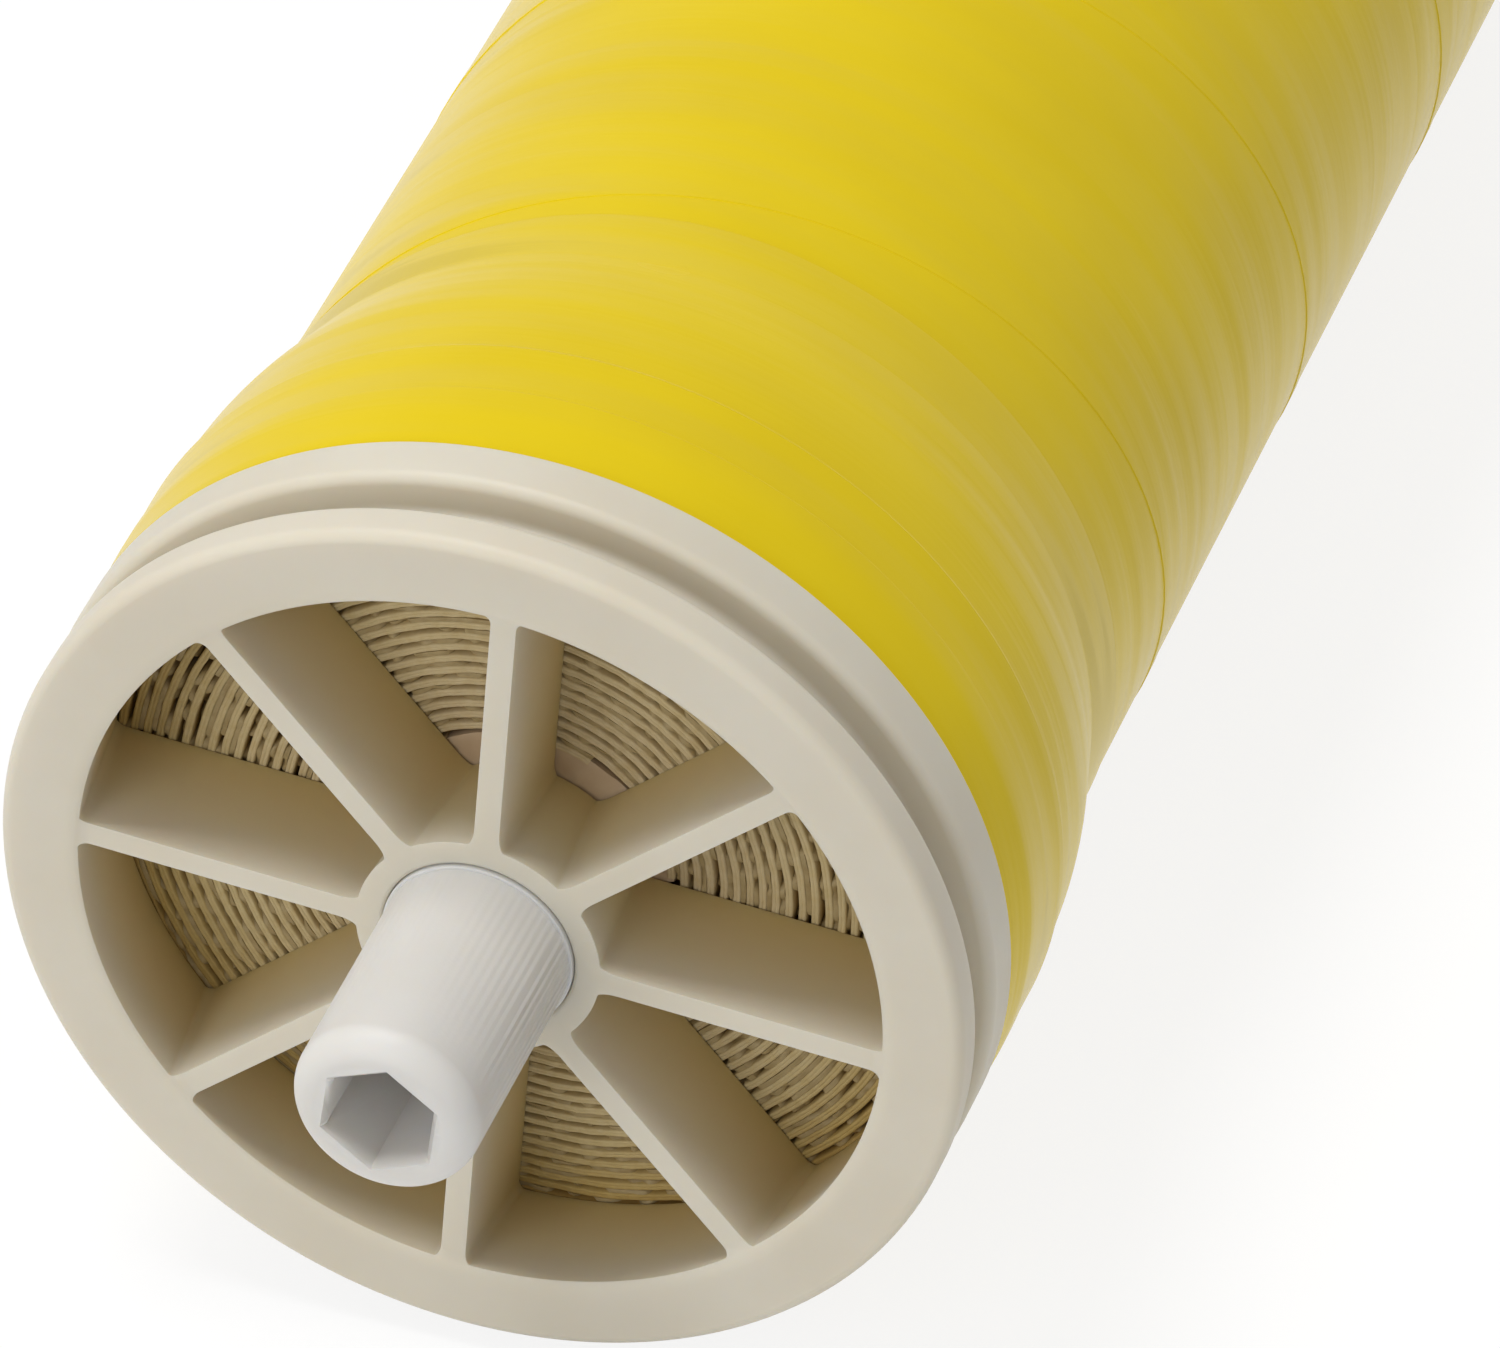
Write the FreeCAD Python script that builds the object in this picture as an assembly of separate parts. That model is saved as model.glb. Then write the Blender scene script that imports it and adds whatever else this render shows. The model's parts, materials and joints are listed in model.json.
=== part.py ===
import FreeCAD, Part
import math
import os
from FreeCAD import Vector

# Spiral-wound reverse osmosis element of the 4 inch by 40 inch class, wrapped in tape.
# Millimetres. The axis is +Y and the front cap faces -Y, +Z is up, and the origin is on
# the axis at mid-length. Angles lie in the XZ plane and run from +X towards +Z.
# Every depth along a cap is counted from the cap's face.

# ---- whole element ----
OVERALL_LENGTH = 1016.0        # permeate tube, tip to tip
TUBE_REACH = 26.7              # tube standing out of each cap's face
BODY_RADIUS = 45.6             # taped body between the caps

# ---- permeate tube ----
SEAL_LAND_RADIUS = 9.525       # each end, turned down for an adapter's seals
SEAL_LAND_STEP = 0.3           # the rest of the tube is larger by this
SEAL_LAND_MARGIN = 0.3         # land ends this far before the hub
TUBE_BORE_RADIUS = 4.8
TUBE_TIP_ROUND = 3.0           # nose that leads the tube into an adapter's seals
DRIVE_HEX_FLATS = 10.2         # socket that turns the tube while the leaves are wound
DRIVE_HEX_DEPTH = 14.0
DRIVE_HEX_TURN = 22.0
PERMEATE_HOLE_RADIUS = 1.6
PERMEATE_HOLE_PITCH = 110.0
PERMEATE_HOLE_COUNT = 8

# ---- wound leaves ----
LEAF_COUNT = 6
LEAF_THICKNESS = 0.86          # two membranes with the permeate carrier between them
SPACER_THICKNESS = 0.485       # feed channel mesh
CORE_THICKNESS = 5.12          # glued layers on the tube, where the leaves begin

# ---- end caps: rim ----
SKIRT_WALL = 2.85              # round the taped roll, where the tape grips it
SKIRT_TIP_WALL = 0.95
SKIRT_LAND_END = 38.0
SKIRT_END = 48.0
FLANGE_HEIGHT = 1.0            # above the skirt
FLANGE_CHAMFER = 0.8
FACE_FLANGE_WIDTH = 4.9
GROOVE_DEPTH = 4.1             # groove that holds the brine seal
GROOVE_WIDTH = 4.6
INNER_FLANGE_WIDTH = 5.8

# ---- end caps: spoked face ----
FACE_THICKNESS = 14.9          # cap's face to the end of the wound roll
ROLL_SHOULDER = 2.35           # how far the face reaches in over the roll's end
WINDOW_DRAFT = 1.9             # windows are narrower by this at the face
WINDOW_ROUND = 1.2             # corners at the rim
HUB_WALL = 1.6                 # round the tube, at the roll
HUB_DRAFT = 1.15               # thicker by this at the face
HUB_ROUND = 2.0                # corners between spokes and hub
HUB_RECESS = 0.6               # hub stands back from the face
SPOKE_COUNT = 8
SPOKE_TURN = -4.5
SPOKE_THICKNESS = 2.5
SPOKE_DRAFT = 0.6              # each side, at the roll

# ---- tape ----
BODY_TAPE_MIN = 0.3            # over the thickest part of the winding
COLLAR_THICKNESS = 1.0         # turns built up over the skirt
COLLAR_EDGE = 0.4              # thickness of the collar's front edge
COLLAR_RISE = 5.0
COLLAR_SLOPE = 14.4            # degrees, down to the body
COLLAR_SHOULDER_DROP = 1.1
COLLAR_SHOULDER_LENGTH = 10.0  # gentler stretch before the slope
COLLAR_END = 53.0

# ---- brine seal ----
SEAL_LIP_REACH = 1.8           # beyond the flanges
SEAL_HEEL_HEIGHT = 2.55        # above the groove's floor
SEAL_LIP_THICKNESS = 1.0
SEAL_LEG_THICKNESS = 1.3

# ---- fits ----
HUB_FIT = 0.05                 # cap's bore over the tube
POCKET_FIT = 0.05              # cap's skirt over the taped roll
SEAL_SIDE_FIT = 0.25           # seal between the flanges
SEAL_FLOOR_FIT = 0.05

AXIS = Vector(0, 1, 0)
ORIGIN = Vector(0, 0, 0)

tube_radius = SEAL_LAND_RADIUS + SEAL_LAND_STEP
leaf_root_radius = tube_radius + CORE_THICKNESS
cap_face_y = -(OVERALL_LENGTH / 2 - TUBE_REACH)
roll_length = 2 * (-cap_face_y - FACE_THICKNESS)
roll_start_y = -roll_length / 2
groove_start = FACE_FLANGE_WIDTH
groove_end = groove_start + GROOVE_WIDTH
skirt_start = groove_end + INNER_FLANGE_WIDTH
pocket_radius = BODY_RADIUS + POCKET_FIT
skirt_radius = pocket_radius + SKIRT_WALL
skirt_tip_radius = pocket_radius + SKIRT_TIP_WALL
flange_radius = skirt_radius + FLANGE_HEIGHT
groove_radius = flange_radius - GROOVE_DEPTH
window_radius = BODY_RADIUS - ROLL_SHOULDER - WINDOW_DRAFT
bore_radius = tube_radius + HUB_FIT
hub_radius = bore_radius + HUB_WALL + HUB_DRAFT
spoke_spacing = 360 / SPOKE_COUNT


# ---- shapes that several pieces use ----

def polar(radius, angle, y=0.0, centre=ORIGIN):
    """Point at a radius and an angle, in degrees, about a centre line along Y."""
    turn = math.radians(angle)
    return Vector(centre.x + radius * math.cos(turn), y, centre.z + radius * math.sin(turn))


def line(start, end):
    return Part.LineSegment(start, end).toShape()


def arc(centre, radius, start, end, y=0.0):
    """Arc about a centre line along Y, from one angle to the other."""
    angles = (start, (start + end) / 2, end)
    return Part.Arc(*[polar(radius, angle, y, centre) for angle in angles]).toShape()


def outline(points):
    return Part.makePolygon(points + points[:1])


def turned(profile):
    """Solid of revolution from (radius, depth) corners, depth counted from the front cap's face."""
    corners = [Vector(radius, cap_face_y + depth, 0) for radius, depth in profile]
    return Part.Face(outline(corners)).revolve(ORIGIN, AXIS, 360)


def at_rear(shape):
    """The same piece at the other end of the element."""
    return shape.mirror(ORIGIN, AXIS)


# ---- permeate tube ----

def drive_socket(tip_y, inward):
    """Hexagonal socket from a tube's tip into its bore."""
    corner_radius = DRIVE_HEX_FLATS / math.sqrt(3)
    outside_y = tip_y - inward
    corners = [polar(corner_radius, DRIVE_HEX_TURN + 60 * i, outside_y) for i in range(6)]
    return Part.Face(outline(corners)).extrude(AXIS * inward * (DRIVE_HEX_DEPTH + 1))


def permeate_hole(index):
    """One drilled hole; they follow each other along the tube on alternate sides."""
    y = (index - (PERMEATE_HOLE_COUNT - 1) / 2) * PERMEATE_HOLE_PITCH
    side = Vector(0, 0, (-1) ** index)
    return Part.makeCylinder(PERMEATE_HOLE_RADIUS, 2 * tube_radius, Vector(0, y, 0), side)


def make_permeate_tube():
    tip_y = OVERALL_LENGTH / 2
    land_y = tip_y - (TUBE_REACH + HUB_RECESS - SEAL_LAND_MARGIN)
    land = Part.makeCylinder(SEAL_LAND_RADIUS, OVERALL_LENGTH, Vector(0, -tip_y, 0), AXIS)
    tips = [edge for edge in land.Edges if edge.BoundBox.YLength < 0.001]
    land = land.makeFillet(TUBE_TIP_ROUND, tips)
    tube = land.fuse(Part.makeCylinder(tube_radius, 2 * land_y, Vector(0, -land_y, 0), AXIS))
    bore = Part.makeCylinder(TUBE_BORE_RADIUS, 1.1 * OVERALL_LENGTH, Vector(0, -1.1 * tip_y, 0), AXIS)
    holes = [permeate_hole(i) for i in range(PERMEATE_HOLE_COUNT)]
    return tube.cut([bore, drive_socket(-tip_y, 1), drive_socket(tip_y, -1)] + holes)


# ---- wound leaves ----
# A leaf follows the involute of a small regular polygon with one corner per leaf: arcs
# centred on the corners in turn, each one winding pitch larger than the one before.
# Leaves that start one corner apart lie exactly one pitch apart all the way out.

winding_pitch = LEAF_THICKNESS + SPACER_THICKNESS
sector = 360 / LEAF_COUNT
corner_distance = winding_pitch / (2 * math.sin(math.radians(sector / 2)))


def reach(radius):
    """Largest distance from the axis on a ratchet outline of this radius."""
    return radius + winding_pitch / 2 + corner_distance ** 2 / (2 * radius)


winding_room = BODY_RADIUS - BODY_TAPE_MIN - reach(leaf_root_radius)
arcs_per_leaf = math.floor(winding_room / winding_pitch)
winding_radius = leaf_root_radius + arcs_per_leaf * winding_pitch


def corner(index):
    """Corner of the polygon that the winding unrolls from."""
    return polar(corner_distance, sector * index)


def sector_start(index):
    """Angle about a corner at which the winding's arc begins."""
    return sector * index - sector / 2 - 90


def sector_arc(index, radius):
    start = sector_start(index)
    return arc(corner(index), radius, start, start + sector, roll_start_y)


def wound_strip(first, inner, outer):
    """Strip that winds out from one corner, between two offsets from the leaf's inner face."""
    indices = [first + i for i in range(arcs_per_leaf)]
    radii = [leaf_root_radius + i * winding_pitch for i in range(arcs_per_leaf)]
    inside = [sector_arc(k, r + inner) for k, r in zip(indices, radii)]
    outside = [sector_arc(k, r + outer) for k, r in zip(indices, radii)]
    root = line(outside[0].valueAt(outside[0].FirstParameter), inside[0].valueAt(inside[0].FirstParameter))
    tail = line(inside[-1].valueAt(inside[-1].LastParameter), outside[-1].valueAt(outside[-1].LastParameter))
    boundary = Part.Wire(inside + [tail] + outside[::-1] + [root])
    return Part.Face(boundary).extrude(AXIS * roll_length)


def ratchet_face(radius):
    """Face inside one turn of sector arcs, with the small step where each leaf begins or ends."""
    arcs = [sector_arc(k, radius) for k in range(LEAF_COUNT)]
    edges = []
    for k, this_arc in enumerate(arcs):
        next_arc = arcs[(k + 1) % LEAF_COUNT]
        step = line(this_arc.valueAt(this_arc.LastParameter), next_arc.valueAt(next_arc.FirstParameter))
        edges += [this_arc, step]
    return Part.Face(Part.Wire(edges))


def round_bar(radius):
    return Part.makeCylinder(radius, roll_length, Vector(0, roll_start_y, 0), AXIS)


def make_core_wrap():
    core = ratchet_face(leaf_root_radius).extrude(AXIS * roll_length)
    return core.cut(round_bar(tube_radius))


def make_membrane_leaf(index):
    return wound_strip(index, 0, LEAF_THICKNESS)


def make_feed_spacer(index):
    return wound_strip(index, LEAF_THICKNESS, winding_pitch)


def make_body_wrap():
    winding = ratchet_face(winding_radius).extrude(AXIS * roll_length)
    return round_bar(BODY_RADIUS).cut(winding)


# ---- end cap ----

def cap_profile():
    """Solid cap before its windows: face, flanges, seal groove and the skirt round the roll."""
    chamfered_radius = flange_radius - FLANGE_CHAMFER
    return [
        (bore_radius, HUB_RECESS),
        (window_radius, HUB_RECESS),
        (window_radius + HUB_RECESS, 0),
        (chamfered_radius, 0),
        (flange_radius, FLANGE_CHAMFER),
        (flange_radius, groove_start - FLANGE_CHAMFER),
        (chamfered_radius, groove_start),
        (groove_radius, groove_start),
        (groove_radius, groove_end),
        (chamfered_radius, groove_end),
        (flange_radius, groove_end + FLANGE_CHAMFER),
        (flange_radius, skirt_start),
        (skirt_radius, skirt_start),
        (skirt_radius, SKIRT_LAND_END),
        (skirt_tip_radius, SKIRT_END),
        (pocket_radius, SKIRT_END),
        (pocket_radius, FACE_THICKNESS),
        (bore_radius, FACE_THICKNESS),
    ]


def window_corner(spoke_angle, side, half_spoke, circle, rounding, outward):
    """Fillet between a spoke's flank and the hub or the rim: on the flank, middle, on the circle."""
    along = polar(1, spoke_angle)
    across = polar(side, spoke_angle + 90)
    from_spoke = half_spoke + rounding
    from_axis = circle - outward * rounding
    centre = along * math.sqrt(from_axis ** 2 - from_spoke ** 2) + across * from_spoke
    radial = centre * (outward / centre.Length)
    middle = (radial - across).normalize()
    return centre - across * rounding, centre + middle * rounding, centre + radial * rounding


def window_outline(depth):
    """Outline of the window after the first spoke, at a depth from the face."""
    share = depth / FACE_THICKNESS
    half_spoke = SPOKE_THICKNESS / 2 + SPOKE_DRAFT * share
    hub = hub_radius - HUB_DRAFT * share
    rim = window_radius + WINDOW_DRAFT * share
    spokes = ((SPOKE_TURN, 1), (SPOKE_TURN + spoke_spacing, -1))
    hub_corners = [window_corner(*spoke, half_spoke, hub, HUB_ROUND, -1) for spoke in spokes]
    rim_corners = [window_corner(*spoke, half_spoke, rim, WINDOW_ROUND, 1) for spoke in spokes]
    middle_angle = SPOKE_TURN + spoke_spacing / 2
    hub_arc = Part.Arc(hub_corners[0][2], polar(hub, middle_angle), hub_corners[1][2])
    rim_arc = Part.Arc(rim_corners[1][2], polar(rim, middle_angle), rim_corners[0][2])
    edges = [
        hub_arc.toShape(),
        Part.Arc(*hub_corners[1][::-1]).toShape(),
        line(hub_corners[1][0], rim_corners[1][0]),
        Part.Arc(*rim_corners[1]).toShape(),
        rim_arc.toShape(),
        Part.Arc(*rim_corners[0][::-1]).toShape(),
        line(rim_corners[0][0], hub_corners[0][0]),
        Part.Arc(*hub_corners[0]).toShape(),
    ]
    return Part.Wire(edges).translated(Vector(0, cap_face_y + depth, 0))


def make_window(index):
    """Drafted cutter for one window, wider at the roll than at the face."""
    overshoot = 1.0
    outlines = [window_outline(-overshoot), window_outline(FACE_THICKNESS + overshoot)]
    window = Part.makeLoft(outlines, True, True)
    return window.rotated(ORIGIN, AXIS, -index * spoke_spacing)


def make_cap():
    windows = [make_window(i) for i in range(SPOKE_COUNT)]
    return turned(cap_profile()).cut(windows)


# ---- tape that holds a cap's skirt ----

def make_collar_tape():
    collar_radius = skirt_radius + COLLAR_THICKNESS
    slope = math.tan(math.radians(COLLAR_SLOPE))
    fall = collar_radius - BODY_RADIUS
    shoulder_end = COLLAR_END - (fall - COLLAR_SHOULDER_DROP) / slope
    return turned([
        (skirt_radius, skirt_start),
        (skirt_radius + COLLAR_EDGE, skirt_start),
        (collar_radius, skirt_start + COLLAR_RISE),
        (collar_radius, shoulder_end - COLLAR_SHOULDER_LENGTH),
        (collar_radius - COLLAR_SHOULDER_DROP, shoulder_end),
        (BODY_RADIUS, COLLAR_END),
        (BODY_RADIUS, SKIRT_END),
        (skirt_tip_radius, SKIRT_END),
        (skirt_radius, SKIRT_LAND_END),
    ])


# ---- brine seal ----

def make_brine_seal():
    """Cup seal: an inner leg on the groove's floor and a lip that flares towards the face."""
    floor = groove_radius + SEAL_FLOOR_FIT
    lip_radius = flange_radius + SEAL_LIP_REACH
    front = groove_start + SEAL_SIDE_FIT
    back = groove_end - SEAL_SIDE_FIT
    return turned([
        (floor, front),
        (floor, back),
        (floor + SEAL_HEEL_HEIGHT, back),
        (lip_radius, front + SEAL_LIP_THICKNESS),
        (lip_radius - SEAL_LIP_THICKNESS / 2, front),
        (floor + SEAL_LEG_THICKNESS, back - SEAL_LEG_THICKNESS),
        (floor + SEAL_LEG_THICKNESS, front),
    ])


def make_sub_parts():
    """Every separate piece of the element, by node name."""
    front_cap = make_cap()
    front_collar = make_collar_tape()
    sub_parts = {
        "permeate_tube": make_permeate_tube(),
        "core_wrap": make_core_wrap(),
        "body_wrap": make_body_wrap(),
        "front_cap": front_cap,
        "rear_cap": at_rear(front_cap),
        "front_collar_tape": front_collar,
        "rear_collar_tape": at_rear(front_collar),
        "brine_seal": at_rear(make_brine_seal()),
    }
    for i in range(LEAF_COUNT):
        sub_parts[f"membrane_leaf_{i + 1}"] = make_membrane_leaf(i)
        sub_parts[f"feed_spacer_{i + 1}"] = make_feed_spacer(i)
    return sub_parts


os.makedirs("parts", exist_ok=True)
for name, shape in make_sub_parts().items():
    if not shape.isValid() or len(shape.Solids) != 1:
        raise ValueError(f"{name} is not one valid solid")
    shape.Solids[0].exportStep(f"parts/{name}.step")
    print(f"{name}: {shape.Volume / 1000:.1f} cm3, box {shape.BoundBox}")
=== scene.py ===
# %% [markdown]
# # A spiral-wound reverse osmosis element
#
# The object is a water filter as long as an arm: flat membranes wound round a tube, held in a
# skin of yellow tape, with a spoked plastic cap on each end. This lesson dresses the plain
# solids of the CAD model. It works in metres, in the same frame: the tube lies along Y, the
# front cap faces -Y, and Z is up.

import json
import math
import random

import bmesh
import bpy
from mathutils import Matrix, Vector, noise

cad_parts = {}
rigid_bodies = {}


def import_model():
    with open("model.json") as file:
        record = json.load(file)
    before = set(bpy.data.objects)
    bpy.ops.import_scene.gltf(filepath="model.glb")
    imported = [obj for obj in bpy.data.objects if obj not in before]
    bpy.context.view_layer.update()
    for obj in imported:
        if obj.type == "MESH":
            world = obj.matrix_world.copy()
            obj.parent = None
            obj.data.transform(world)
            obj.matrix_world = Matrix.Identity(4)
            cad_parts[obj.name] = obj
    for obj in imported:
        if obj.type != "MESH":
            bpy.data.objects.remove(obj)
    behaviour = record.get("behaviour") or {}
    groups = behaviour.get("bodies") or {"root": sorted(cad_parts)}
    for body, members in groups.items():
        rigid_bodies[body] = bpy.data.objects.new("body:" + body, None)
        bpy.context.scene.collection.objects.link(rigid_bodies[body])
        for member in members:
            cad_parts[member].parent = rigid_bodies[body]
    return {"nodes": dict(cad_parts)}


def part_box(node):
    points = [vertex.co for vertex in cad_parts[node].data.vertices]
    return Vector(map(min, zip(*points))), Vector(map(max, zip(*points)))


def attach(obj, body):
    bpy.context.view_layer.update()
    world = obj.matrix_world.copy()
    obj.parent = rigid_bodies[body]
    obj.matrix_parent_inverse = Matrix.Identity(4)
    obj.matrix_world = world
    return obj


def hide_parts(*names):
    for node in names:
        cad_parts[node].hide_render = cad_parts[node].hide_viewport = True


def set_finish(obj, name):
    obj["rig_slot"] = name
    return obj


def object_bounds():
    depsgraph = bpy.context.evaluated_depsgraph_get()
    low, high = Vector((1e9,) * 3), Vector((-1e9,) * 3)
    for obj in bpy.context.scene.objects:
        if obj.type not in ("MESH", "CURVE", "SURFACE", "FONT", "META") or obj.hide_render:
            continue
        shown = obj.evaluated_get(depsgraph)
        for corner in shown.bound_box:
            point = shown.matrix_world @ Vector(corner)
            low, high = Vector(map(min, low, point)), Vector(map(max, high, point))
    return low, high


for leftover in list(bpy.data.objects):
    bpy.data.objects.remove(leftover)
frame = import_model()
cad_low, cad_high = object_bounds()
print("CAD box, mm:", [round(1000 * v, 1) for v in cad_low], [round(1000 * v, 1) for v in cad_high])

MM = 0.001
AXIS = Vector((0, 1, 0))
nodes = frame["nodes"]

# %% [markdown]
# ## Camera
#
# A long lens from above and to the left of the near cap. It could be aimed with a Track To
# constraint, but plain numbers are easier to check against the cap's outline, so the place,
# the turn and the focal length are set directly.

# %% Camera
camera_data = bpy.data.cameras.new("camera")
camera_data.sensor_width = 36
camera_data.sensor_fit = "HORIZONTAL"
camera_data.lens = 298.18
camera_data.clip_end = 20
camera = bpy.data.objects.new("camera", camera_data)
camera.location = (0.32703, -1.33883, 0.77320)
camera.rotation_euler = [math.radians(v) for v in (51.1474, 0, 19.2199)]
bpy.context.collection.objects.link(camera)
bpy.context.scene.camera = camera
bpy.context.scene.view_settings.view_transform = "Standard"
print("camera is", round(camera.location.length, 3), "m from the middle of the element")

# %% [markdown]
# ## Helpers for meshes
#
# Most of the pieces are turned: a section spun about the tube's axis. A section starts as a
# few corners. Bevelling a corner's vertex rounds it, so a fillet costs one number, and the
# Spin operator turns the outline into a closed ring.

# %% Turning a section
def new_piece(name, mesh_source, slot_name):
    """Object from a bmesh that rides on the element and is named for its finish."""
    piece = loose_object(name, mesh_source)
    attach(piece, "root")
    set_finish(piece, slot_name)
    return piece


def loose_object(name, mesh_source):
    """Plain object from a bmesh, for cutters and the floor."""
    mesh = bpy.data.meshes.new(name)
    mesh_source.to_mesh(mesh)
    mesh_source.free()
    made = bpy.data.objects.new(name, mesh)
    bpy.context.collection.objects.link(made)
    return made


def at_rear(piece, name):
    """The same piece at the other end of the element."""
    bm = bmesh.new()
    bm.from_mesh(piece.data)
    bmesh.ops.scale(bm, vec=(1, -1, 1), verts=bm.verts[:])
    bmesh.ops.reverse_faces(bm, faces=bm.faces[:])
    copy = new_piece(name, bm, piece["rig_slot"])
    shade_smooth(copy)
    return copy


def shade_smooth(piece, angle=35):
    piece.data.polygons.foreach_set("use_smooth", [True] * len(piece.data.polygons))
    piece.data.set_sharp_from_angle(angle=math.radians(angle))


def section(corners, segments=4):
    """Closed outline in the XY plane from (radius, y, rounding) corners in millimetres."""
    bm = bmesh.new()
    points = [bm.verts.new((radius * MM, y * MM, 0)) for radius, y, _ in corners]
    face = bm.faces.new(points)
    for point, (_, _, rounding) in zip(points, corners):
        if rounding:
            bmesh.ops.bevel(bm, geom=[point], offset=rounding * MM, offset_type="OFFSET",
                            segments=segments, profile=0.5, affect="VERTICES", material=-1)
    bmesh.ops.delete(bm, geom=bm.faces[:], context="FACES_ONLY")
    return bm


def spin_section(bm, steps=192):
    """Turns an open or closed outline into a ring round the tube's axis."""
    bmesh.ops.spin(bm, geom=bm.verts[:] + bm.edges[:], cent=(0, 0, 0), axis=AXIS,
                   dvec=(0, 0, 0), angle=2 * math.pi, steps=steps, use_merge=True)
    bmesh.ops.remove_doubles(bm, verts=bm.verts[:], dist=1e-6)
    bmesh.ops.recalc_face_normals(bm, faces=bm.faces[:])
    return bm


def apply_modifiers(piece):
    """Bakes a piece's modifiers into its mesh."""
    seen = piece.evaluated_get(bpy.context.evaluated_depsgraph_get())
    baked = bpy.data.meshes.new_from_object(seen)
    piece.modifiers.clear()
    piece.data = baked


def cut_away(piece, cutter):
    """Removes a cutter's volume from a piece, then the cutter itself."""
    boolean = piece.modifiers.new("cut", "BOOLEAN")
    boolean.operation = "DIFFERENCE"
    boolean.solver = "EXACT"
    boolean.object = cutter
    apply_modifiers(piece)
    bpy.data.objects.remove(cutter)


def soften_edges(piece, width, segments=3, angle=40):
    """Rounds every edge sharper than the angle, and lets wide faces keep their own normals."""
    piece.data.polygons.foreach_set("use_smooth", [True] * len(piece.data.polygons))
    bevel = piece.modifiers.new("soften", "BEVEL")
    bevel.width = width * MM
    bevel.segments = segments
    bevel.limit_method = "ANGLE"
    bevel.angle_limit = math.radians(angle)
    bevel.use_clamp_overlap = True
    weighted = piece.modifiers.new("weigh", "WEIGHTED_NORMAL")
    weighted.keep_sharp = True
    apply_modifiers(piece)

# %% [markdown]
# ## Helpers for materials
#
# Every finish is a Principled shader with noise and bump before it. Two short helpers add a
# node and set its inputs, which keeps each material's own function down to what is special
# about that material.

# %% Building a node tree
def new_material(name):
    material = bpy.data.materials.new(name)
    material.use_nodes = True
    return material, material.node_tree, material.node_tree.nodes["Principled BSDF"]


def node(tree, kind, values=None, **settings):
    made = tree.nodes.new(kind)
    for key, value in settings.items():
        setattr(made, key, value)
    for key, value in (values or {}).items():
        made.inputs[key].default_value = value
    return made


def link(tree, source, target):
    tree.links.new(source, target)


def coordinates(tree):
    return node(tree, "ShaderNodeTexCoord").outputs["Object"]


def noise_field(tree, vector, scale, detail=3.0, stretch=(1, 1, 1)):
    """Noise at a scale in cycles per metre, stretched by its mapping."""
    mapping = node(tree, "ShaderNodeMapping", {"Scale": stretch})
    link(tree, vector, mapping.inputs["Vector"])
    field = node(tree, "ShaderNodeTexNoise", {"Scale": scale, "Detail": detail})
    link(tree, mapping.outputs["Vector"], field.inputs["Vector"])
    return field.outputs["Fac"]


def ramp(tree, value, *stops):
    made = node(tree, "ShaderNodeValToRGB")
    elements = made.color_ramp.elements
    while len(elements) < len(stops):
        elements.new(0.5)
    for element, (position, color) in zip(elements, stops):
        element.position = position
        element.color = (*color, 1)
    link(tree, value, made.inputs["Fac"])
    return made.outputs["Color"]


def mix_color(tree, factor, first, second, blend="MIX"):
    made = node(tree, "ShaderNodeMix", data_type="RGBA", blend_type=blend)
    for key, value in (("Factor", factor), ("A", first), ("B", second)):
        socket = next(s for s in made.inputs if s.name == key and s.enabled)
        if isinstance(value, bpy.types.NodeSocket):
            link(tree, value, socket)
        else:
            socket.default_value = value
    return next(s for s in made.outputs if s.enabled)


def math_node(tree, operation, *values):
    made = node(tree, "ShaderNodeMath", operation=operation)
    for socket, value in zip(made.inputs, values):
        if isinstance(value, bpy.types.NodeSocket):
            link(tree, value, socket)
        else:
            socket.default_value = value
    return made.outputs[0]


def bump(tree, height, distance, strength=1.0):
    made = node(tree, "ShaderNodeBump", {"Strength": strength, "Distance": distance})
    link(tree, height, made.inputs["Height"])
    return made.outputs["Normal"]

# %% [markdown]
# ## Sizes of the element
#
# These are the real sizes that the pieces below share. Depths count from a cap's face towards
# the middle of the element, and the front cap's face comes from the CAD tube and its reach.

# %% Shared sizes, in millimetres
tube_low, tube_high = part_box("permeate_tube")
TIP_Y = tube_low.y / MM
TUBE_REACH = 26.7
TUBE_RADIUS = tube_high.x / MM
SEAL_LAND_RADIUS = TUBE_RADIUS - 0.3
FACE_Y = TIP_Y + TUBE_REACH
FACE_DEPTH = 14.9
ROLL_Y = FACE_Y + FACE_DEPTH
BODY_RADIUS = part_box("body_wrap")[1].x / MM
FLANGE_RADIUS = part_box("front_cap")[1].x / MM
COLLAR_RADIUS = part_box("front_collar_tape")[1].x / MM
SPOKE_COUNT = 8
SPOKE_TURN = -4.5
print("cap face at y", round(FACE_Y, 2), "roll end at y", round(ROLL_Y, 2))
print("radii: tube", round(TUBE_RADIUS, 2), "body", round(BODY_RADIUS, 2), "flange", round(FLANGE_RADIUS, 2))

# %% [markdown]
# ## End caps
#
# Each cap is one moulding: a rim with two flanges and a groove between them, a skirt that
# sleeves the roll, and eight thin spokes round a hub. It could be assembled from a ring, a hub
# and spokes joined with booleans, but their seams would need fillets afterwards. Here the
# whole cap is spun as a solid disc and the eight windows are cut out of it, which is also how
# the mould makes them. Each window's outline has rounded corners, and the cutter is bridged
# between two outlines of different size, because a moulded window has draft.

# %% Cap body
WINDOW_RADIUS = 41.35
HUB_RECESS = 0.6
BORE_RADIUS = TUBE_RADIUS + 0.05


def at_depth(corners):
    """Moves section corners from depths behind the cap's face to the element's own Y."""
    return [(radius, FACE_Y + depth, rounding) for radius, depth, rounding in corners]


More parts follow.
